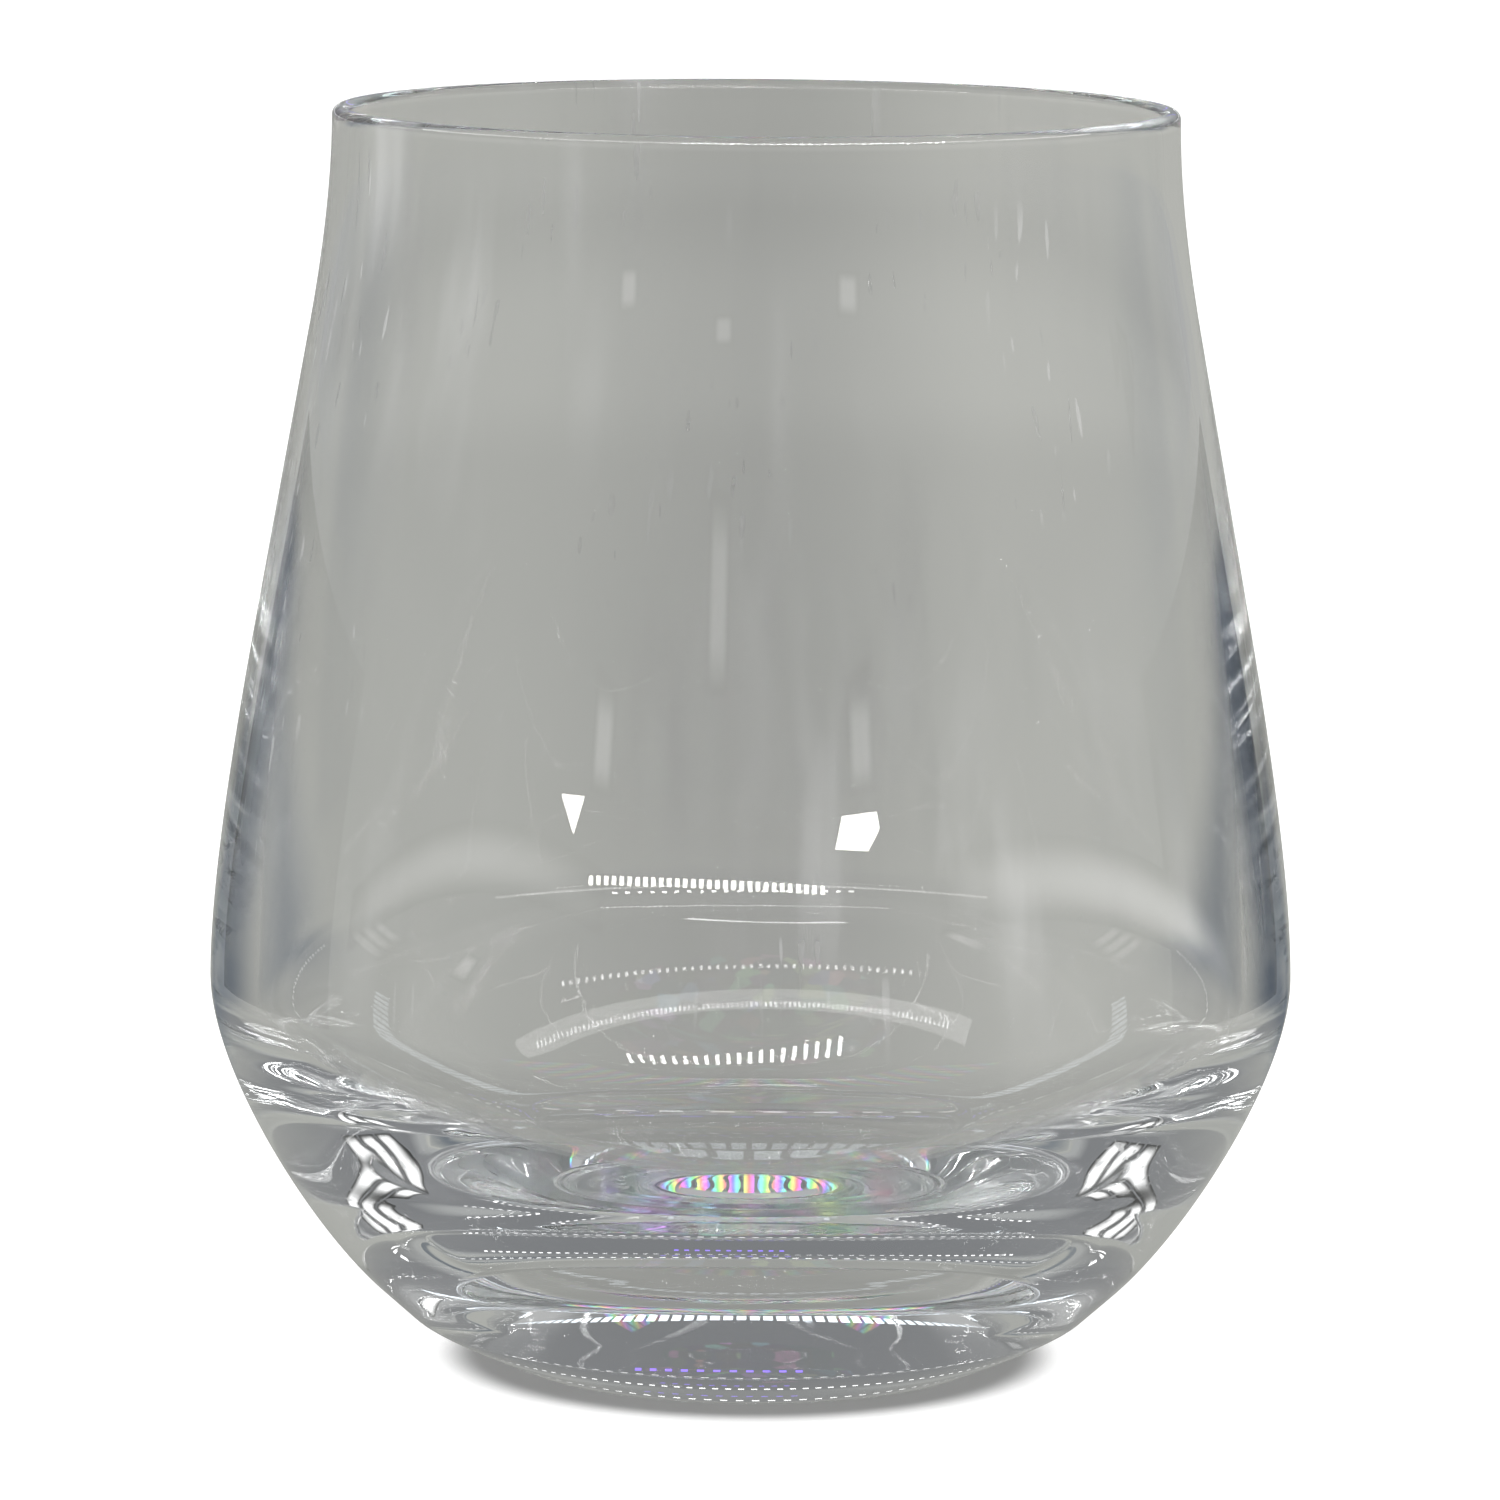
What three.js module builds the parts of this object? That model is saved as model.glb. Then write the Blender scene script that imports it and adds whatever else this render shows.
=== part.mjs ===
// A rocks glass: a stemless tulip tumbler of one piece of clear glass, round about +Z, standing on z = 0.
// Outside, a small foot flares to a heel, from which a steeper cone opens into a round lower bowl, and this
// turns up at the belly. Above the belly the wall leans in as a straight cone and turns upright again at the
// lip. Inside, the thin wall of the lip thickens towards the belly and closes in a flat, round-cornered floor
// over a heavy solid base.

import * as THREE from 'three';

// Overall form, in millimetres
const HEIGHT = 100;
const RIM_RADIUS = 33.4;
const BELLY_RADIUS = 43.1;
const BELLY_HEIGHT = 30.9;
const FOOT_RADIUS = 19.5;

// Thickness of the glass
const LIP_WALL = 1.45;
const BELLY_WALL = 3.6;
const BASE_THICKNESS = 12.3;

// Underside: a resting ring round a shallow dish
const FOOT_RING_WIDTH = 3.85;
const DISH_DEPTH = 0.3;

// Lower bowl: the heel's corner, the cone that rises from it, and how soon the bowl is upright
const HEEL_RADIUS = 26.3;
const HEEL_HEIGHT = 2.9;
const HEEL_ROUNDING = 1.5;
const LOWER_CONE_ANGLE = 42.3;
const LOWER_CONE_LENGTH = 3.7;
const BOWL_LEAD = 7.1;
const HIP_DROP = 7.2;

// Cone of the wall: it runs between two corners, one above the belly and one below the lip
const OUTER_CORNER_RISE = 8.4;
const INNER_CORNER_RISE = 19.3;
const LIP_CORNER_DROP = 7.6;

// Lengths of the cone that the rounding of each corner takes up
const OUTER_BELLY_ROUNDING = 19.9;
const INNER_BELLY_ROUNDING = 30.3;
const LIP_ROUNDING = 9.7;

// Floor of the drinking space: how far it is flat, how far its corner keeps level, and how soon it is upright
const FLOOR_RADIUS = 17.7;
const FLOOR_CORNER_LEAD = 7;
const FLOOR_CORNER_DROP = 7.3;

// Fineness of the surface
const POINTS_PER_CURVE = 8;
const TURN_STEPS = 64;

// A point of the profile: its distance from the axis and its height
function at(radius, height) {
  return new THREE.Vector2(radius, height);
}

// The straight stretch of a cone between two corners, shortened at both ends by their roundings
function coneBetween(low, high, lowRounding, highRounding) {
  const length = low.distanceTo(high);
  const room = Math.min(1, length / (lowRounding + highRounding));
  const start = low.clone().lerp(high, (lowRounding * room) / length);
  const end = high.clone().lerp(low, (highRounding * room) / length);
  return { start, end };
}

// Underside, from the axis to the outer edge of the resting ring
function undersideCurves() {
  const dishRadius = FOOT_RADIUS - FOOT_RING_WIDTH;
  const dishTop = at(0, DISH_DEPTH);
  const dishEdge = at(dishRadius, 0);
  const footEdge = at(FOOT_RADIUS, 0);
  return [
    new THREE.QuadraticBezierCurve(dishTop, at(dishRadius / 2, DISH_DEPTH), dishEdge),
    new THREE.LineCurve(dishEdge, footEdge),
  ];
}

// Outside, from the foot up to the start of the rounded lip
function outsideCurves(lipRadius) {
  const foot = at(FOOT_RADIUS, 0);
  const heel = at(HEEL_RADIUS, HEEL_HEIGHT);
  const lean = (LOWER_CONE_ANGLE * Math.PI) / 180;
  const heading = at(Math.cos(lean), Math.sin(lean));
  const coneLow = heel.clone().addScaledVector(heading, HEEL_ROUNDING);
  const coneHigh = coneLow.clone().addScaledVector(heading, LOWER_CONE_LENGTH);
  const bowlHeading = coneHigh.clone().addScaledVector(heading, BOWL_LEAD);
  const hip = at(BELLY_RADIUS, BELLY_HEIGHT - HIP_DROP);
  const belly = at(BELLY_RADIUS, BELLY_HEIGHT);
  const bellyCorner = at(BELLY_RADIUS, BELLY_HEIGHT + OUTER_CORNER_RISE);
  const lipCorner = at(RIM_RADIUS, HEIGHT - LIP_CORNER_DROP);
  const lip = at(RIM_RADIUS, HEIGHT - lipRadius);
  const cone = coneBetween(bellyCorner, lipCorner, OUTER_BELLY_ROUNDING, LIP_ROUNDING);
  return [
    new THREE.QuadraticBezierCurve(foot, heel, coneLow),
    new THREE.LineCurve(coneLow, coneHigh),
    new THREE.CubicBezierCurve(coneHigh, bowlHeading, hip, belly),
    new THREE.QuadraticBezierCurve(belly, bellyCorner, cone.start),
    new THREE.LineCurve(cone.start, cone.end),
    new THREE.QuadraticBezierCurve(cone.end, lipCorner, lip),
  ];
}

// Inside, from the end of the rounded lip down to the middle of the floor
function insideCurves(lipRadius) {
  const innerRim = RIM_RADIUS - LIP_WALL;
  const innerBelly = BELLY_RADIUS - BELLY_WALL;
  const lip = at(innerRim, HEIGHT - lipRadius);
  const lipCorner = at(innerRim, HEIGHT - LIP_CORNER_DROP);
  const bellyCorner = at(innerBelly, BELLY_HEIGHT + INNER_CORNER_RISE);
  const belly = at(innerBelly, BELLY_HEIGHT);
  const floorCorner = at(innerBelly, BELLY_HEIGHT - FLOOR_CORNER_DROP);
  const floorLead = at(FLOOR_RADIUS + FLOOR_CORNER_LEAD, BASE_THICKNESS);
  const floorEdge = at(FLOOR_RADIUS, BASE_THICKNESS);
  const floorMiddle = at(0, BASE_THICKNESS);
  const cone = coneBetween(bellyCorner, lipCorner, INNER_BELLY_ROUNDING, LIP_ROUNDING);
  return [
    new THREE.QuadraticBezierCurve(lip, lipCorner, cone.end),
    new THREE.LineCurve(cone.end, cone.start),
    new THREE.QuadraticBezierCurve(cone.start, bellyCorner, belly),
    new THREE.CubicBezierCurve(belly, floorCorner, floorLead, floorEdge),
    new THREE.LineCurve(floorEdge, floorMiddle),
  ];
}

// The closed half section, from the axis below, round the lip and back to the axis above the base
function halfSection() {
  const lipRadius = LIP_WALL / 2;
  const section = new THREE.CurvePath();
  undersideCurves().forEach((curve) => section.add(curve));
  outsideCurves(lipRadius).forEach((curve) => section.add(curve));
  const lipMiddle = at(RIM_RADIUS - lipRadius, HEIGHT - lipRadius);
  section.add(new THREE.EllipseCurve(lipMiddle.x, lipMiddle.y, lipRadius, lipRadius, 0, Math.PI));
  insideCurves(lipRadius).forEach((curve) => section.add(curve));
  return section.getPoints(POINTS_PER_CURVE);
}

// The glass itself, turned about the Y axis and then stood up along +Z
function glassBody() {
  const geometry = new THREE.LatheGeometry(halfSection(), TURN_STEPS);
  geometry.rotateX(Math.PI / 2);
  const clearGlass = new THREE.MeshStandardMaterial({
    color: 0xe6ebea,
    roughness: 0.03,
    metalness: 0,
    transparent: true,
    opacity: 0.35,
  });
  const mesh = new THREE.Mesh(geometry, clearGlass);
  mesh.name = 'glass_body';
  return mesh;
}

const rocksGlass = new THREE.Group();
rocksGlass.name = 'rocks_glass';
rocksGlass.add(glassBody());

export default rocksGlass;
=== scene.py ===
"""Looks of a rocks glass: one smooth turned piece of clear glass on a plain white set."""

import math

import bpy
from mathutils import Matrix, Vector

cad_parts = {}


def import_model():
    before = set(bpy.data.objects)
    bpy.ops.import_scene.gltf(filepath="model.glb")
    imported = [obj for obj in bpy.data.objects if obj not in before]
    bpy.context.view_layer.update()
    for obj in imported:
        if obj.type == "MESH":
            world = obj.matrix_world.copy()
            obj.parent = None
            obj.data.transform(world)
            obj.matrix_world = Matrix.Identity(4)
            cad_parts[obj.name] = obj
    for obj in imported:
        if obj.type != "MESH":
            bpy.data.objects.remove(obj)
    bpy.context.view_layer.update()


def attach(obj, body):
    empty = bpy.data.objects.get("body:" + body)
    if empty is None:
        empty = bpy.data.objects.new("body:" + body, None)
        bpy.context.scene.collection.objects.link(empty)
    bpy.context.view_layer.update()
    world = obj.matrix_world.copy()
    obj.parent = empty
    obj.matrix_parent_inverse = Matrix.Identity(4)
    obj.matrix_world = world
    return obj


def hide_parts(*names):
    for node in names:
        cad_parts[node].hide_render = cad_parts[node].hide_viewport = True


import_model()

MM = 0.001

# Form of the glass, in millimetres, the same as the CAD solid's
HEIGHT = 100
RIM_RADIUS = 33.4
BELLY_RADIUS = 43.1
BELLY_HEIGHT = 30.9
FOOT_RADIUS = 19.5
LIP_WALL = 1.45
BELLY_WALL = 3.6
BASE_THICKNESS = 12.3
FOOT_RING_WIDTH = 3.85
DISH_DEPTH = 0.3
HEEL_RADIUS = 26.3
HEEL_HEIGHT = 2.9
HEEL_ROUNDING = 1.5
LOWER_CONE_ANGLE = 42.3
LOWER_CONE_LENGTH = 3.7
BOWL_LEAD = 7.1
HIP_DROP = 7.2
OUTER_CORNER_RISE = 8.4
INNER_CORNER_RISE = 19.3
LIP_CORNER_DROP = 7.6
OUTER_BELLY_ROUNDING = 19.9
INNER_BELLY_ROUNDING = 30.3
LIP_ROUNDING = 9.7
FLOOR_RADIUS = 17.7
FLOOR_CORNER_LEAD = 7
FLOOR_CORNER_DROP = 7.3

# Fineness of the glass: steps along its profile in millimetres, and counts round its lip and its axis
PROFILE_STEP = 0.8
FOOT_STEP = 0.4
LIP_STEPS = 20
TURN_STEPS = 272

# Fineness of the set
ROUND_STEPS = 96
DOME_ROWS = 24
BAND_STEPS = 40
BAND_ROWS = 8

# The glass, and its marks of use, which begin and are full at two heights in metres
GLASS_INDEX = 1.52
GLASS_TINT = (0.92, 0.95, 0.95)
GLASS_DENSITY = 4
MARKS_BEGIN = 0.026
MARKS_FULL = 0.045
HAZE_SHARE = 0.3
SPECK_SHARE = 0.55
SCRATCH_SHARE = 0.25
MARK_ROUGHNESS = 0.4

# Grain of the marks and of the sparkle: cells in a metre along X, Y and Z
STREAK_GRAIN = (170, 170, 16)
CLOUD_GRAIN = (28, 28, 20)
SPECK_GRAIN = (520, 520, 520)
HAIR_GRAIN = (1500, 1500, 70)
PATCH_GRAIN = (45, 45, 45)
SPARKLE_GRAIN = (11, 11, 11)

# Camera of the photograph: metres, degrees, and a lens in millimetres
CAMERA_PLACE = (-0.00016, -0.6503, 0.1452)
CAMERA_DIP = 8.435
CAMERA_ROLL = 0.4
CAMERA_LENS = 198.1

# Plain light of the studio: watts, metres and a strength
SOFT_BOX_POWER = 14
SOFT_BOX_SIZE = 1.4
SOFT_BOX_PLACE = (-0.1, -0.1, 1.2)
SKY_STRENGTH = 0.5
LIGHT_BOUNCES = 96

# Sizes and places of the set, in metres
GROUND_RADIUS = 6.0
GROUND_DROP = 0.0002
# Radii of the painted shadow on the ground under the foot: darkest inside the first, gone beyond the
# second
PAINTED_SHADOW_INNER = 0.0216
PAINTED_SHADOW_OUTER = 0.0258
TABLE_DROP = 0.0001
DOME_RADIUS = 3.0
CARD_REACH = 2.6
ROW_REACH = 1.5
SPARKLE_RADIUS = 0.55
SPARKLE_HEIGHT = 1.45

# Colours of the set, as linear light
WHITE = (1, 1, 1)
CREAM = (1, 1, 0.94)
WARM_WHITE = (1, 0.97, 0.93)
PALE_BLUE = (0.85, 0.93, 1)
VIOLET = (0.3, 0.2, 1)
GROUND_GREY = (0.3, 0.3, 0.29)
TABLE_LEFT = (0.424, 0.43, 0.405)
TABLE_MIDDLE = (0.362, 0.366, 0.348)
TABLE_RIGHT = (0.463, 0.468, 0.44)
TABLE_DARK_LEFT = (0.18, 0.205, 0.235)
TABLE_DARK_RIGHT = (0.115, 0.14, 0.175)
DOME_HORIZON = (0.40, 0.41, 0.41)
DOME_MIDDLE = (0.2, 0.206, 0.218)
DOME_BAND = (0.5, 0.505, 0.51)
DOME_TOP = (0.19, 0.2, 0.205)

# Colours up the dome, by height as a share of its radius
DOME_STOPS = [
    (0.0, DOME_HORIZON),
    (0.03, DOME_HORIZON),
    (0.09, DOME_MIDDLE),
    (0.5, DOME_MIDDLE),
    (0.57, DOME_BAND),
    (0.7, DOME_BAND),
    (0.76, DOME_TOP),
]

# Painted shading of the table: it fans out from a point before the glass, and the table has a dark area to
# each side behind
FAN_DISTANCE = 0.65
FAN_NEAREST = 0.05
FAN_INNER = 0.002
FAN_OUTER = 0.042
DARK_AREAS = [
    dict(side=-1, far=0.9, shade=TABLE_DARK_LEFT),
    dict(side=1, far=0.7, shade=TABLE_DARK_RIGHT),
]
DARK_FADE = 0.6
STRIP_GAIN = 0.11

# Windows: degrees round the glass and up, width and height in degrees, and strength
SLATS = 3
SLAT_TURN = 5
SIDE_WINDOWS = [
    dict(name="side_window_right", side=1, azimuth=61, elevation=16),
    dict(name="side_window_left", side=-1, azimuth=63, elevation=18),
]
SLAT = dict(width=4.4, height=18, strength=1.5)
HIGH_WINDOWS = [
    dict(name="high_window_right", azimuth=75, elevation=42, width=12, height=4, strength=3),
    dict(name="high_window_left", azimuth=-107, elevation=47, width=14, height=4, strength=3),
]
FRONT_WINDOWS = [
    dict(name="front_window_left", azimuth=-147, elevation=11.5, width=5, height=3, strength=2.2),
    dict(name="front_window_right", azimuth=156, elevation=12, width=6, height=3, strength=2.2),
    dict(name="front_window_middle", azimuth=-172, elevation=14.5, width=5, height=1.8, strength=1.8),
]

# Small lamps close to the glass: metres, and degrees round it
NEAR_LAMP = dict(distance=0.125, strength=25)
NEAR_LAMPS = [
    dict(
        name="lamp_left",
        azimuth=-147,
        height=0.062,
        corners=[(-0.005, 0.002), (0.0015, -0.0028), (0.005, 0.0022)],
    ),
    dict(
        name="lamp_right",
        azimuth=161,
        height=0.061,
        corners=[(-0.009, -0.002), (0.004, -0.0026), (0.009, 0.0002), (0.008, 0.0024), (-0.006, 0.0022)],
    ),
]

# Soft light arcs and dark flags close to the glass: metres, and degrees round it
SOFT_ARCS = [
    dict(
        name="soft_arc_right", azimuth=110, half_span=36, height=0.0463, tilt=0.0143, sag=0.0092,
        breadth=0.012, strength=3,
    ),
    dict(
        name="soft_arc_left", azimuth=-127, half_span=27, height=0.0535, tilt=-0.0065, sag=0.0095,
        breadth=0.010, strength=2.2,
    ),
]
SOFT_ARC_REACH = 0.13
FLAGS = [
    dict(name="flag_right", azimuth=66, strength=0.0),
    dict(name="flag_left", azimuth=-66, strength=0.35),
]
FLAG = dict(half_span=24, height=0.037, tilt=0, sag=0, breadth=0.074, reach=0.2)

# Rows of lamps close to the glass, which it only mirrors: degrees for the row, metres for a lamp
MIRRORED_ROWS = [
    dict(
        name="close_dots", azimuth=-172, elevation=23.6, half_span=20.5, sag=0.4, count=30,
        width=0.0016, height=0.0013, reach=0.136, colour=CREAM, strength=30,
    ),
    dict(
        name="lip_dots", azimuth=167.7, elevation=62.4, half_span=26.6, sag=0, count=35,
        width=0.0008, height=0.006, reach=0.13, colour=WHITE, strength=45,
    ),
    dict(
        name="lip_bar", azimuth=180, elevation=62.4, half_span=80, sag=0, count=90,
        width=0.0022, height=0.006, reach=0.131, colour=WHITE, strength=7,
    ),
]

# Rows of lamps in the room: degrees for the row, metres for a lamp
LAMP_ROWS = [
    dict(
        name="lamp_dots", azimuth=175, elevation=32.5, half_span=32, sag=4, count=20,
        width=0.026, height=0.05, colour=WHITE, strength=36,
    ),
    dict(
        name="lamp_bar", azimuth=177, elevation=25.6, half_span=66, sag=7.8, count=120,
        width=0.03, height=0.06, colour=WHITE, strength=3.4,
    ),
    dict(
        name="lamp_bar_dots", azimuth=177, elevation=26.2, half_span=60, sag=7, count=90,
        width=0.018, height=0.016, colour=WHITE, strength=13,
    ),
    dict(
        name="lamp_faint", azimuth=177, elevation=21.6, half_span=48, sag=4.5, count=44,
        width=0.02, height=0.014, colour=WHITE, strength=12,
    ),
    dict(
        name="lamp_high", azimuth=178, elevation=45, half_span=42, sag=5, count=50,
        width=0.022, height=0.016, colour=WHITE, strength=12,
    ),
    dict(
        name="lamp_line", azimuth=-175, elevation=55, half_span=25, sag=3, count=30,
        width=0.06, height=0.012, colour=WHITE, strength=14,
    ),
    dict(
        name="ring_dots", azimuth=0, elevation=28.9, half_span=46, sag=0, count=64,
        width=0.024, height=0.08, colour=PALE_BLUE, strength=2.6,
    ),
    dict(
        name="foot_dots", azimuth=0, elevation=6, half_span=46, sag=0, count=56,
        width=0.02, height=0.025, colour=WHITE, strength=2.6,
    ),
    dict(
        name="violet_dots", azimuth=3, elevation=10.6, half_span=8, sag=0, count=11,
        width=0.018, height=0.022, colour=VIOLET, strength=1.8,
    ),
]
SPECTRUM_ROW = dict(azimuth=0, elevation=52, half_span=36, sag=0, count=27, width=0.032, height=0.35)

# The spectrum's runs through all hues in a metre, and the strengths and saturations of the coloured lamps
SPECTRUM_RUNS = 14
SPECTRUM_STRENGTH = 1.5
SPECTRUM_SATURATION = 0.7
SPARKLE_STRENGTH = 1.6
SPARKLE_SATURATION = 0.6

# Places of a mix node's colour sockets among all its sockets
MIX_SHARE = 0
MIX_COLOURS = slice(6, 8)
MIX_RESULT = 2


def at(radius, height):
    """A point of the profile: its distance from the axis and its height."""
    return Vector((radius, height))


def bezier(points, t):
    """A point on the Bezier curve, or straight line, that the points control."""
    while len(points) > 1:
        points = [a.lerp(b, t) for a, b in zip(points, points[1:])]
    return points[0]


def along(points, step=PROFILE_STEP):
    """Points on a curve about a step apart, without its first one."""
    length = sum((b - a).length for a, b in zip(points, points[1:]))
    steps = max(2, math.ceil(length / step))
    return [bezier(points, i / steps) for i in range(1, steps + 1)]


def cone_between(low, high, low_rounding, high_rounding):
    """The straight stretch of a cone between two corners, without their roundings."""
    length = (high - low).length
    room = min(1, length / (low_rounding + high_rounding))
    return low.lerp(high, low_rounding * room / length), high.lerp(low, high_rounding * room / length)


def underside():
    """Points from beside the axis, over the dish, to the outer edge of the resting ring."""
    dish = FOOT_RADIUS - FOOT_RING_WIDTH
    hollow = along([at(0, DISH_DEPTH), at(dish / 2, DISH_DEPTH), at(dish, 0)])
    return hollow + along([at(dish, 0), at(FOOT_RADIUS, 0)], FOOT_STEP)


def outside(lip_radius):
    """Points from the foot up to the start of the rounded lip."""
    lean = math.radians(LOWER_CONE_ANGLE)
    heading = at(math.cos(lean), math.sin(lean))
    heel = at(HEEL_RADIUS, HEEL_HEIGHT)
    cone_low = heel + heading * HEEL_ROUNDING
    cone_high = cone_low + heading * LOWER_CONE_LENGTH
    belly = at(BELLY_RADIUS, BELLY_HEIGHT)
    hip = at(BELLY_RADIUS, BELLY_HEIGHT - HIP_DROP)
    belly_corner = at(BELLY_RADIUS, BELLY_HEIGHT + OUTER_CORNER_RISE)
    lip_corner = at(RIM_RADIUS, HEIGHT - LIP_CORNER_DROP)
    start, end = cone_between(belly_corner, lip_corner, OUTER_BELLY_ROUNDING, LIP_ROUNDING)
    flare = along([at(FOOT_RADIUS, 0), heel, cone_low], FOOT_STEP)
    bowl = along([cone_low, cone_high]) + along([cone_high, cone_high + heading * BOWL_LEAD, hip, belly])
    wall = along([belly, belly_corner, start]) + along([start, end])
    return flare + bowl + wall + along([end, lip_corner, at(RIM_RADIUS, HEIGHT - lip_radius)])


def lip(lip_radius):
    """Points over the rounded edge, from the outside to the inside."""
    turns = [math.pi * i / LIP_STEPS for i in range(1, LIP_STEPS + 1)]
    centre = at(RIM_RADIUS - lip_radius, HEIGHT - lip_radius)
    return [centre + at(math.cos(turn), math.sin(turn)) * lip_radius for turn in turns]


def inside(lip_radius):
    """Points from the end of the rounded lip down to the middle of the floor."""
    inner_rim = RIM_RADIUS - LIP_WALL
    inner_belly = BELLY_RADIUS - BELLY_WALL
    belly = at(inner_belly, BELLY_HEIGHT)
    belly_corner = at(inner_belly, BELLY_HEIGHT + INNER_CORNER_RISE)
    lip_corner = at(inner_rim, HEIGHT - LIP_CORNER_DROP)
    start, end = cone_between(belly_corner, lip_corner, INNER_BELLY_ROUNDING, LIP_ROUNDING)
    floor_corner = at(inner_belly, BELLY_HEIGHT - FLOOR_CORNER_DROP)
    floor_lead = at(FLOOR_RADIUS + FLOOR_CORNER_LEAD, BASE_THICKNESS)
    floor_edge = at(FLOOR_RADIUS, BASE_THICKNESS)
    wall = along([at(inner_rim, HEIGHT - lip_radius), lip_corner, end]) + along([end, start])
    bowl = along([start, belly_corner, belly]) + along([belly, floor_corner, floor_lead, floor_edge])
    return wall + bowl + along([floor_edge, at(0, BASE_THICKNESS)])


def half_section():
    """The glass's half section, from the axis below, round the lip and back to the axis above the base."""
    lip_radius = LIP_WALL / 2
    return [at(0, DISH_DEPTH)] + underside() + outside(lip_radius) + lip(lip_radius) + inside(lip_radius)


def turned_mesh(name, section):
    """A closed mesh made by turning a half section, which starts and ends on the axis, about Z."""
    first, last = section[0], section[-1]
    rings = section[1:-1]
    verts = [(0, 0, first.y * MM)]
    for point in rings:
        for i in range(TURN_STEPS):
            turn = 2 * math.pi * i / TURN_STEPS
            verts.append((point.x * math.cos(turn) * MM, point.x * math.sin(turn) * MM, point.y * MM))
    verts.append((0, 0, last.y * MM))
    top = len(verts) - 1
    faces = []
    for i in range(TURN_STEPS):
        j = (i + 1) % TURN_STEPS
        faces.append((0, 1 + j, 1 + i))
        for k in range(len(rings) - 1):
            low, high = 1 + k * TURN_STEPS, 1 + (k + 1) * TURN_STEPS
            faces.append((low + i, low + j, high + j, high + i))
        ring = 1 + (len(rings) - 1) * TURN_STEPS
        faces.append((ring + i, ring + j, top))
    mesh = bpy.data.meshes.new(name)
    mesh.from_pydata(verts, [], faces)
    mesh.polygons.foreach_set("use_smooth", [True] * len(mesh.polygons))
    return mesh


def add_object(name, data):
    """A new object of the scene."""
    made = bpy.data.objects.new(name, data)
    bpy.context.scene.collection.objects.link(made)
    return made


def new_material(name):
    """A new material and its node tree, with no nodes in it."""
    material = bpy.data.materials.new(name)
    material.use_nodes = True
    material.node_tree.nodes.clear()
    return material, material.node_tree


def worked(tree, operation, first, second=0):
    """A math node on one or two values, each a socket or a number."""
    node = tree.nodes.new("ShaderNodeMath")
    node.operation = operation
    for socket, value in zip(node.inputs, (first, second)):
        if isinstance(value, (int, float)):
            socket.default_value = value
        else:
            tree.links.new(value, socket)
    return node.outputs[0]


def eased(tree, value, start, end, low=0.0, high=1.0):
    """A value brought smoothly from the range between start and end to the one between low and high."""
    node = tree.nodes.new("ShaderNodeMapRange")
    node.interpolation_type = "SMOOTHSTEP"
    node.inputs["From Min"].default_value = start
    node.inputs["From Max"].default_value = end
    node.inputs["To Min"].default_value = low
    node.inputs["To Max"].default_value = high
    tree.links.new(value, node.inputs["Value"])
    return node.outputs["Result"]


def object_place(tree):
    """The place of a point in its object's own coordinates."""
    return tree.nodes.new("ShaderNodeTexCoord").outputs["Object"]


def object_axes(tree):
    """The X, Y and Z of a point in its object's own coordinates."""
    split = tree.nodes.new("ShaderNodeSeparateXYZ")
    tree.links.new(object_place(tree), split.inputs["Vector"])
    return split.outputs


def distance_out(tree):
    """The distance of a point from its object's own origin."""
    node = tree.nodes.new("ShaderNodeVectorMath")
    node.operation = "LENGTH"
    tree.links.new(object_place(tree), node.inputs[0])
    return node.outputs["Value"]


def stretched(tree, grain):
    """Object coordinates counted in cells of a grain."""
    mapping = tree.nodes.new("ShaderNodeMapping")
    mapping.inputs["Scale"].default_value = grain
    tree.links.new(object_place(tree), mapping.inputs["Vector"])
    return mapping.outputs["Vector"]


def noise(tree, grain, detail):
    """Soft noise of a grain."""
    node = tree.nodes.new("ShaderNodeTexNoise")
    node.inputs["Scale"].default_value = 1
    node.inputs["Detail"].default_value = detail
    tree.links.new(stretched(tree, grain), node.inputs["Vector"])
    return node.outputs["Fac"]


def cells(tree, grain):
    """A node of cells of a grain, with a random colour for each and the distance from its middle."""
    node = tree.nodes.new("ShaderNodeTexVoronoi")
    node.inputs["Scale"].default_value = 1
    tree.links.new(stretched(tree, grain), node.inputs["Vector"])
    return node


def blended(tree, share, first, second):
    """A colour between two, each a socket or a colour."""
    node = tree.nodes.new("ShaderNodeMix")
    node.data_type = "RGBA"
    tree.links.new(share, node.inputs[MIX_SHARE])
    for socket, value in zip(node.inputs[MIX_COLOURS], (first, second)):
        if isinstance(value, tuple):
            socket.default_value = (*value, 1)
        else:
            tree.links.new(value, socket)
    return node.outputs[MIX_RESULT]


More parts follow.
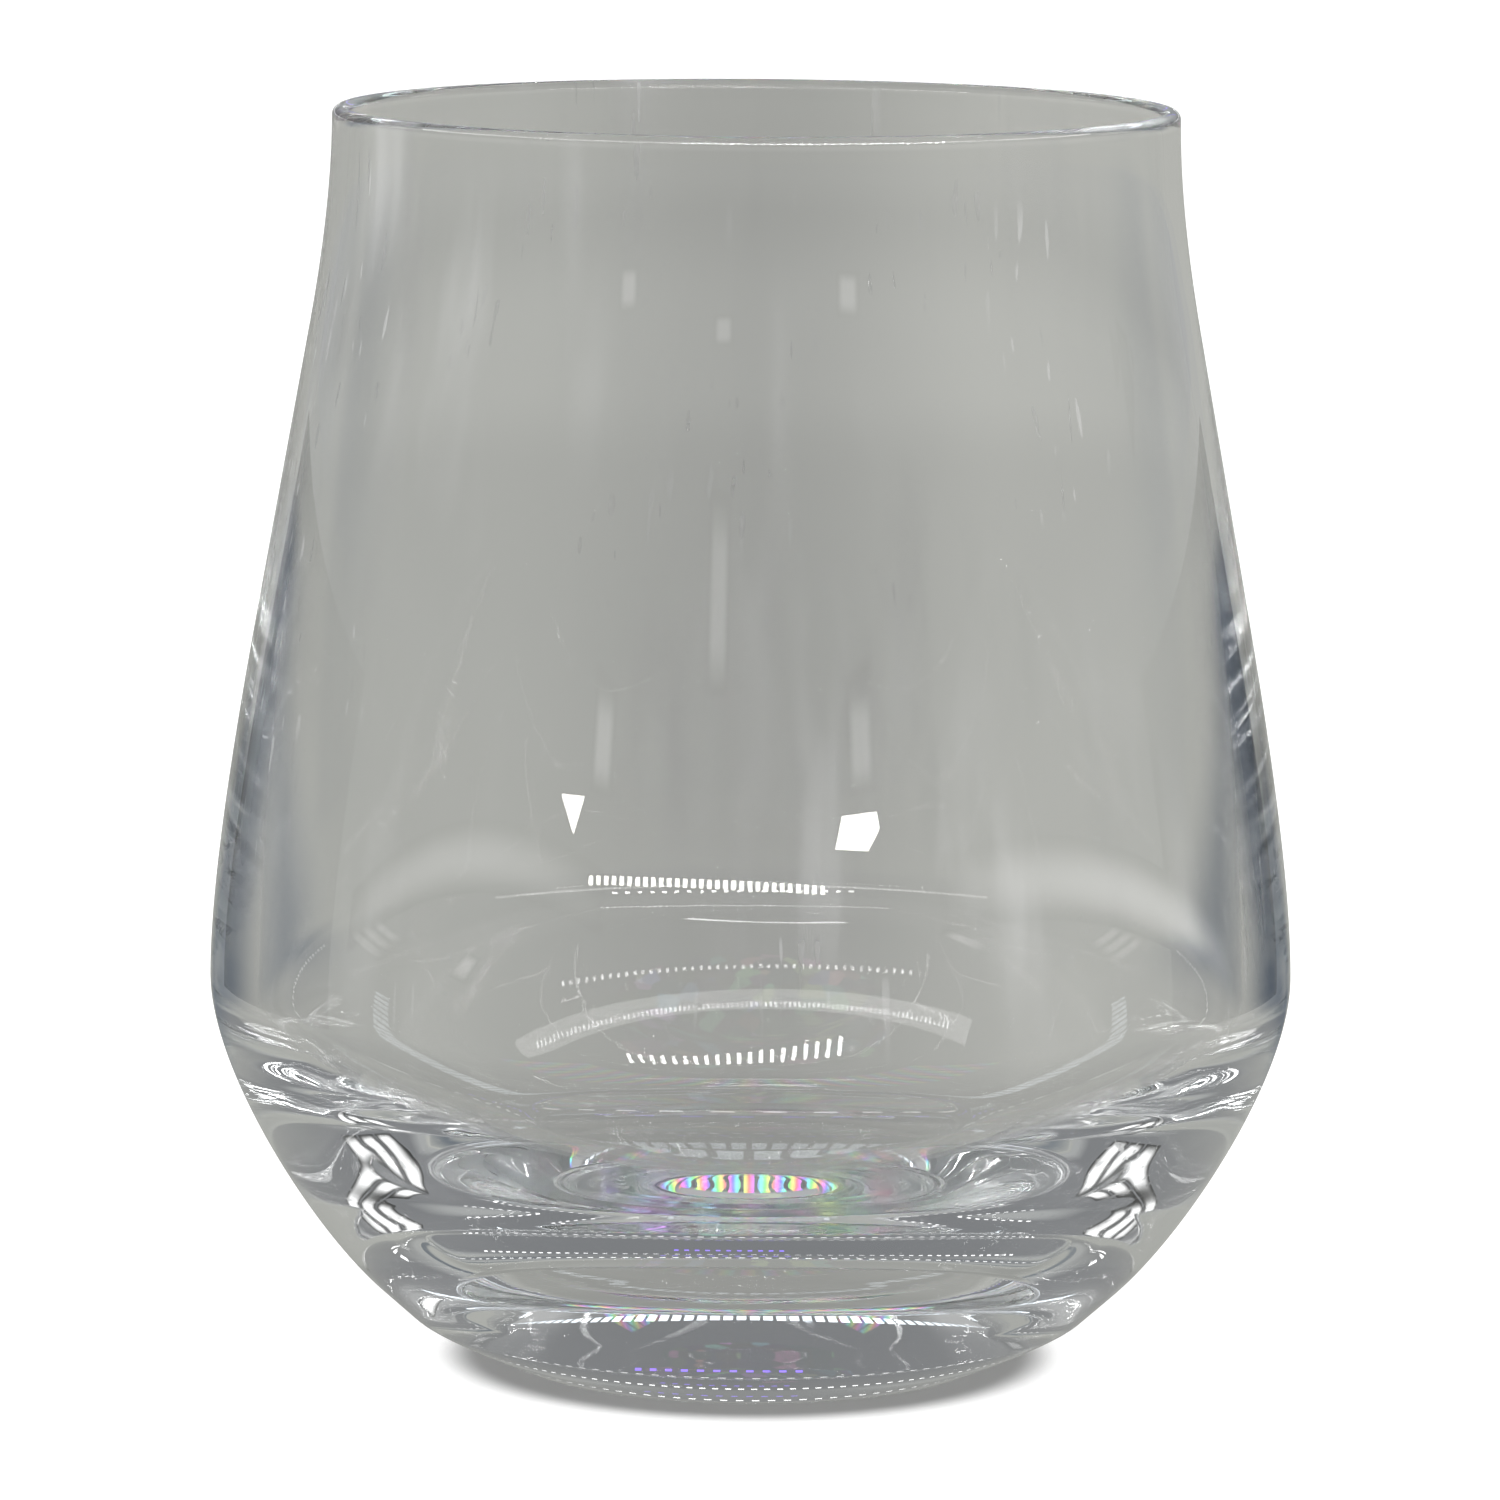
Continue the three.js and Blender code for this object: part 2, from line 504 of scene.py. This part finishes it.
def glass_material():
    """Clear glass with marks of use: faint upright wipe streaks, dust specks and hairline scratches."""
    material, tree = new_material("clear_glass")
    output = tree.nodes.new("ShaderNodeOutputMaterial")
    shader = tree.nodes.new("ShaderNodeBsdfPrincipled")
    shader.inputs["Base Color"].default_value = (*WHITE, 1)
    shader.inputs["IOR"].default_value = GLASS_INDEX
    streaks = eased(tree, noise(tree, STREAK_GRAIN, detail=3), start=0.48, end=0.78)
    clouds = eased(tree, noise(tree, CLOUD_GRAIN, detail=2), start=0.4, end=0.7)
    haze = worked(tree, "MULTIPLY", worked(tree, "MULTIPLY", streaks, clouds), HAZE_SHARE)
    dust = cells(tree, SPECK_GRAIN)
    chosen = eased(tree, dust.outputs["Color"], start=0.965, end=0.975)
    grains = eased(tree, dust.outputs["Distance"], start=0.16, end=0.08)
    specks = worked(tree, "MULTIPLY", worked(tree, "MULTIPLY", grains, chosen), SPECK_SHARE)
    hairs = eased(tree, noise(tree, HAIR_GRAIN, detail=0), start=0.74, end=0.78)
    patches = eased(tree, noise(tree, PATCH_GRAIN, detail=1), start=0.56, end=0.64)
    scratches = worked(tree, "MULTIPLY", worked(tree, "MULTIPLY", hairs, patches), SCRATCH_SHARE)
    marks = worked(tree, "ADD", specks, scratches)
    above = eased(tree, object_axes(tree)["Z"], start=MARKS_BEGIN, end=MARKS_FULL)
    worn = worked(tree, "MULTIPLY", worked(tree, "ADD", haze, marks), above)
    tree.links.new(worked(tree, "SUBTRACT", 1, worn), shader.inputs["Transmission Weight"])
    tree.links.new(worked(tree, "MULTIPLY", marks, MARK_ROUGHNESS), shader.inputs["Roughness"])
    body = tree.nodes.new("ShaderNodeVolumeAbsorption")
    body.inputs["Color"].default_value = (*GLASS_TINT, 1)
    body.inputs["Density"].default_value = GLASS_DENSITY
    tree.links.new(shader.outputs["BSDF"], output.inputs["Surface"])
    tree.links.new(body.outputs["Volume"], output.inputs["Volume"])
    return material


def glass_body():
    """The object itself: one turned piece."""
    body = add_object("turned_glass", turned_mesh("turned_glass", half_section()))
    body.data.materials.append(glass_material())
    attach(body, "root")
    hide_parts("glass_body")


def new_glow(name):
    """A new material that gives light, with its node tree and its emission node."""
    material, tree = new_material(name)
    output = tree.nodes.new("ShaderNodeOutputMaterial")
    glow = tree.nodes.new("ShaderNodeEmission")
    tree.links.new(glow.outputs["Emission"], output.inputs["Surface"])
    return material, tree, glow


def even_glow(name, colour, strength):
    """The same light all over a lamp."""
    material, tree, glow = new_glow(name)
    glow.inputs["Color"].default_value = (*colour, 1)
    glow.inputs["Strength"].default_value = strength
    return material


def soft_glow(name, strength, half_width, half_height):
    """A light that fades towards the edges of a card."""
    material, tree, glow = new_glow(name)
    axes = object_axes(tree)
    fades = []
    for axis, half in (("X", half_width), ("Y", half_height)):
        spread = worked(tree, "DIVIDE", worked(tree, "ABSOLUTE", axes[axis]), half)
        fades.append(eased(tree, spread, start=1.0, end=0.35))
    both = worked(tree, "MULTIPLY", *fades)
    tree.links.new(worked(tree, "MULTIPLY", both, strength), glow.inputs["Strength"])
    return material


def dome_glow():
    """Soft greys that change with the height: lighter at the horizon and in a band half way up."""
    material, tree, glow = new_glow("dome_grey")
    ramp = tree.nodes.new("ShaderNodeValToRGB")
    stops = ramp.color_ramp.elements
    for height, colour in DOME_STOPS[1:-1]:
        stops.new(height)
    for stop, (height, colour) in zip(stops, DOME_STOPS):
        stop.position = height
        stop.color = (*colour, 1)
    tree.links.new(worked(tree, "DIVIDE", object_axes(tree)["Z"], DOME_RADIUS), ramp.inputs["Fac"])
    tree.links.new(ramp.outputs["Color"], glow.inputs["Color"])
    return material


def table_glow():
    """A grey table with painted shade: lighter at the sides than in the middle, darker near the glass; two
    dark areas farther back.
    """
    material, tree, glow = new_glow("table_grey")
    axes = object_axes(tree)
    reach = distance_out(tree)
    # Painted shading: the table is lighter to the left and right than in the middle
    before = worked(tree, "MAXIMUM", worked(tree, "ADD", axes["Y"], FAN_DISTANCE), FAN_NEAREST)
    fan = worked(tree, "DIVIDE", axes["X"], before)
    colour = blended(tree, eased(tree, fan, start=-FAN_INNER, end=-FAN_OUTER), TABLE_MIDDLE, TABLE_LEFT)
    colour = blended(tree, eased(tree, fan, start=FAN_INNER, end=FAN_OUTER), colour, TABLE_RIGHT)
    turn = worked(tree, "ARCTAN2", axes["X"], axes["Y"])
    for area in DARK_AREAS:
        aside = worked(tree, "MULTIPLY", turn, area["side"])
        opening = eased(tree, aside, start=0.38, end=0.55)
        closing = eased(tree, aside, start=1.0, end=0.66)
        nearer = eased(tree, reach, start=0.085, end=0.15)
        farther = eased(tree, reach, start=area["far"], end=area["far"] * DARK_FADE)
        sector = worked(tree, "MULTIPLY", opening, closing)
        ring = worked(tree, "MULTIPLY", nearer, farther)
        colour = blended(tree, worked(tree, "MULTIPLY", sector, ring), colour, area["shade"])
    tree.links.new(colour, glow.inputs["Color"])
    # Painted shadow: the table's glow is lower close to the glass
    shade = eased(tree, reach, start=0.03, end=0.07, low=0.82, high=0.98)
    rising = eased(tree, reach, start=0.5, end=0.7)
    falling = eased(tree, reach, start=1.1, end=0.85)
    strip = worked(tree, "MULTIPLY", worked(tree, "MULTIPLY", rising, falling), STRIP_GAIN)
    tree.links.new(worked(tree, "ADD", shade, strip), glow.inputs["Strength"])
    return material


def band_glow(name):
    """A light whose strength is written in the mesh."""
    material, tree, glow = new_glow(name)
    written = tree.nodes.new("ShaderNodeAttribute")
    written.attribute_name = "glow"
    tree.links.new(written.outputs["Fac"], glow.inputs["Strength"])
    return material


def hue_node(tree, glow, saturation):
    """A node that colours a glow from a hue and a value. Returns the sockets of these two."""
    node = tree.nodes.new("ShaderNodeCombineColor")
    node.mode = "HSV"
    hue, depth, value = node.inputs
    depth.default_value = saturation
    tree.links.new(node.outputs["Color"], glow.inputs["Color"])
    return hue, value


def spectrum_glow():
    """A light whose hue runs through the spectrum again and again from left to right."""
    material, tree, glow = new_glow("spectrum")
    glow.inputs["Strength"].default_value = SPECTRUM_STRENGTH
    hue, value = hue_node(tree, glow, SPECTRUM_SATURATION)
    value.default_value = 1
    runs = worked(tree, "MULTIPLY", object_axes(tree)["X"], SPECTRUM_RUNS)
    tree.links.new(worked(tree, "FRACT", runs), hue)
    return material


def sparkle_glow():
    """Small patches of many colours, a few of them bright, to imitate how the base splits white light."""
    material, tree, glow = new_glow("sparkle")
    glow.inputs["Strength"].default_value = SPARKLE_STRENGTH
    hue, value = hue_node(tree, glow, SPARKLE_SATURATION)
    split = tree.nodes.new("ShaderNodeSeparateColor")
    tree.links.new(cells(tree, SPARKLE_GRAIN).outputs["Color"], split.inputs["Color"])
    tree.links.new(split.outputs["Red"], hue)
    tree.links.new(eased(tree, split.outputs["Green"], start=0.6, end=0.98, low=0.1), value)
    return material


def seen_only_in_glass(card):
    """A card of the set that the glass shows and mirrors, but that the camera doesn't see directly."""
    card.visible_camera = False
    card.visible_diffuse = False
    card.visible_shadow = False


def only_mirrored(card):
    """A card of the set that surfaces of the glass mirror, but that isn't seen through it."""
    card.visible_transmission = False


def toward(azimuth, elevation, reach=CARD_REACH):
    """A place round the glass: azimuth 0 lies behind it as the camera sees it, and 90 to its right."""
    turn, rise = math.radians(azimuth), math.radians(elevation)
    level = reach * math.cos(rise)
    return Vector((level * math.sin(turn), level * math.cos(turn), reach * math.sin(rise)))


def disc(name, radius, height):
    """A level round card."""
    turns = [2 * math.pi * i / ROUND_STEPS for i in range(ROUND_STEPS)]
    mesh = bpy.data.meshes.new(name)
    rim = [(radius * math.cos(turn), radius * math.sin(turn), height) for turn in turns]
    mesh.from_pydata(rim, [], [range(ROUND_STEPS)])
    return add_object(name, mesh)


def panel(name, corners, place, outward):
    """A flat upright card in a place, square to the outward direction."""
    mesh = bpy.data.meshes.new(name)
    mesh.from_pydata([(x, y, 0) for x, y in corners], [], [range(len(corners))])
    made = add_object(name, mesh)
    made.location = place
    made.rotation_euler = outward.to_track_quat("Z", "Y").to_euler()
    return made


def grid_shares(columns, rows):
    """Pairs of shares from 0 to 1, along and across a grid, for each of its points."""
    return [(i / columns, j / rows) for i in range(columns + 1) for j in range(rows + 1)]


def grid(name, columns, rows, place):
    """A curved card whose points a function places by their shares along and across."""
    faces = []
    for i in range(columns):
        for j in range(rows):
            low = i * (rows + 1) + j
            high = low + rows + 1
            faces.append((low, low + 1, high + 1, high))
    mesh = bpy.data.meshes.new(name)
    mesh.from_pydata([place(*shares) for shares in grid_shares(columns, rows)], [], faces)
    return add_object(name, mesh)


def dome():
    """A half ball of soft grey over the table."""
    def place(share, up):
        return toward(360 * share, 90 * up, DOME_RADIUS)

    shell = grid("dome", ROUND_STEPS, DOME_ROWS, place)
    shell.data.materials.append(dome_glow())
    seen_only_in_glass(shell)


def window(name, azimuth, elevation, width, height, strength):
    """A glowing card that faces the glass, soft at its edges, with its width and height in degrees."""
    x = CARD_REACH * math.radians(width) / 2
    y = CARD_REACH * math.radians(height) / 2
    place = toward(azimuth, elevation)
    made = panel(name, [(-x, -y), (x, -y), (x, y), (-x, y)], place, place)
    made.data.materials.append(soft_glow(name, strength, x, y))
    seen_only_in_glass(made)
    return made


def near_lamp(name, azimuth, distance, height, corners, strength):
    """A small flat lamp close to the glass, which its belly mirrors and its lip doesn't."""
    outward = toward(azimuth, 0, distance)
    made = panel(name, corners, outward + Vector((0, 0, height)), outward)
    made.data.materials.append(even_glow(name, WARM_WHITE, strength))
    seen_only_in_glass(made)
    only_mirrored(made)


def near_band(name, azimuth, half_span, height, tilt, sag, breadth, strength, reach):
    """An upright band bent round the glass and close to it, which only the outside of the glass mirrors.

    Its middle line rises by the tilt towards its second end and sinks by the sag at both ends. It is
    brightest along the middle and fades out to its edges, and one with little or no light is a dark flag.
    """
    def place(share, up):
        part = 2 * share - 1
        middle = height + tilt * part - sag * part * part
        rise = Vector((0, 0, middle + (up - 0.5) * breadth))
        return toward(azimuth + half_span * part, 0, reach) + rise

    def hump(share):
        return 4 * share * (1 - share)

    band = grid(name, BAND_STEPS, BAND_ROWS, place)
    glows = [strength * hump(share) * hump(up) ** 2 for share, up in grid_shares(BAND_STEPS, BAND_ROWS)]
    band.data.attributes.new("glow", "FLOAT", "POINT").data.foreach_set("value", glows)
    band.data.materials.append(band_glow(name))
    seen_only_in_glass(band)
    only_mirrored(band)


def row_of_cards(name, azimuth, elevation, half_span, sag, count, width, height, reach=ROW_REACH):
    """A level row of small cards round the glass, lower by the sag at both its ends."""
    verts, faces = [], []
    for i in range(count):
        part = 2 * i / (count - 1) - 1
        turn = math.radians(azimuth + part * half_span)
        centre = toward(azimuth + part * half_span, elevation - sag * part * part, reach)
        level = Vector((math.cos(turn), -math.sin(turn), 0))
        up = level.cross(centre).normalized()
        first = len(verts)
        for x, y in ((-1, -1), (1, -1), (1, 1), (-1, 1)):
            verts.append(centre + level * x * width / 2 + up * y * height / 2)
        faces.append(range(first, len(verts)))
    mesh = bpy.data.meshes.new(name)
    mesh.from_pydata(verts, [], faces)
    row = add_object(name, mesh)
    seen_only_in_glass(row)
    return row


def lamp_row(name, colour, strength, **row):
    """A row of small lamps of one colour."""
    made = row_of_cards(name, **row)
    made.data.materials.append(even_glow(name, colour, strength))
    return made


def windows():
    """The windows of the room: slatted ones at both sides, high ones, and ones that are only mirrored."""
    for i in range(SLATS):
        for side_window in SIDE_WINDOWS:
            azimuth = side_window["side"] * (side_window["azimuth"] + SLAT_TURN * i)
            window(f"{side_window['name']}_{i}", azimuth, side_window["elevation"], **SLAT)
    for high_window in HIGH_WINDOWS:
        window(**high_window)
    for front_window in FRONT_WINDOWS:
        only_mirrored(window(**front_window))


def room_lamps():
    """The lamps, light arcs and dark flags close to the glass, and the rows of lamps in the room."""
    for lamp in NEAR_LAMPS:
        near_lamp(**lamp, **NEAR_LAMP)
    for arc in SOFT_ARCS:
        near_band(**arc, reach=SOFT_ARC_REACH)
    for flag in FLAGS:
        near_band(**flag, **FLAG)
    for row in MIRRORED_ROWS:
        only_mirrored(lamp_row(**row))
    for row in LAMP_ROWS:
        lamp_row(**row)
    row_of_cards("spectrum", **SPECTRUM_ROW).data.materials.append(spectrum_glow())


def surroundings():
    """What the clear glass shows: a grey table, a soft grey dome, and the windows and lamps of a room."""
    table = disc("table_card", DOME_RADIUS, -TABLE_DROP)
    table.data.materials.append(table_glow())
    seen_only_in_glass(table)
    dome()
    windows()
    room_lamps()
    sparkle = disc("sparkle", SPARKLE_RADIUS, SPARKLE_HEIGHT)
    sparkle.data.materials.append(sparkle_glow())
    seen_only_in_glass(sparkle)


def ground():
    """The white ground with a painted shadow, less bright under the foot; its diffuse part keeps the
    glass's soft cast shadow.
    """
    floor = disc("ground", GROUND_RADIUS, -GROUND_DROP)
    material, tree = new_material("ground_white")
    output = tree.nodes.new("ShaderNodeOutputMaterial")
    diffuse = tree.nodes.new("ShaderNodeBsdfDiffuse")
    diffuse.inputs["Color"].default_value = (*GROUND_GREY, 1)
    glow = tree.nodes.new("ShaderNodeEmission")
    # Painted shadow: the ground's glow falls to a fifth under the foot and rises to full between the two
    # radii
    shade = eased(tree, distance_out(tree), start=PAINTED_SHADOW_INNER, end=PAINTED_SHADOW_OUTER, low=0.2)
    tree.links.new(shade, glow.inputs["Strength"])
    both = tree.nodes.new("ShaderNodeAddShader")
    tree.links.new(diffuse.outputs["BSDF"], both.inputs[0])
    tree.links.new(glow.outputs["Emission"], both.inputs[1])
    tree.links.new(both.outputs["Shader"], output.inputs["Surface"])
    floor.data.materials.append(material)


def world():
    """A white background, which lights the set less than it shows."""
    sky = bpy.data.worlds.new("studio")
    bpy.context.scene.world = sky
    sky.use_nodes = True
    tree = sky.node_tree
    tree.nodes.clear()
    output = tree.nodes.new("ShaderNodeOutputWorld")
    ray = tree.nodes.new("ShaderNodeLightPath")
    soft = tree.nodes.new("ShaderNodeBackground")
    soft.inputs["Strength"].default_value = SKY_STRENGTH
    white = tree.nodes.new("ShaderNodeBackground")
    white.inputs["Color"].default_value = (*WHITE, 1)
    mix = tree.nodes.new("ShaderNodeMixShader")
    seen = worked(tree, "ADD", ray.outputs["Is Camera Ray"], ray.outputs["Is Glossy Ray"])
    shown = worked(tree, "ADD", seen, ray.outputs["Is Transmission Ray"])
    tree.links.new(worked(tree, "MINIMUM", shown, 1), mix.inputs["Fac"])
    tree.links.new(soft.outputs["Background"], mix.inputs[1])
    tree.links.new(white.outputs["Background"], mix.inputs[2])
    tree.links.new(mix.outputs["Shader"], output.inputs["Surface"])


def soft_box():
    """One large soft lamp overhead, which the glass doesn't mirror."""
    light = bpy.data.lights.new("soft_box", "AREA")
    light.energy = SOFT_BOX_POWER
    light.size = SOFT_BOX_SIZE
    lamp = add_object("soft_box", light)
    lamp.location = SOFT_BOX_PLACE
    lamp.rotation_euler = lamp.location.to_track_quat("Z", "Y").to_euler()
    lamp.visible_glossy = False
    lamp.visible_transmission = False


def camera():
    """The camera, where the photograph was taken from."""
    eye = bpy.data.cameras.new("camera")
    eye.lens = CAMERA_LENS
    holder = add_object("camera", eye)
    holder.location = CAMERA_PLACE
    level = Matrix.Rotation(math.radians(90 - CAMERA_DIP), 3, "X")
    holder.rotation_euler = (level @ Matrix.Rotation(math.radians(CAMERA_ROLL), 3, "Z")).to_euler()
    bpy.context.scene.camera = holder


glass_body()
surroundings()
ground()
world()
soft_box()
camera()
bpy.context.scene.view_settings.view_transform = "Standard"
bpy.context.scene.cycles.max_bounces = LIGHT_BOUNCES
bpy.context.scene.cycles.glossy_bounces = LIGHT_BOUNCES
bpy.context.scene.cycles.transmission_bounces = LIGHT_BOUNCES
bpy.context.scene.cycles.sample_clamp_indirect = 0

bpy.context.view_layer.update()
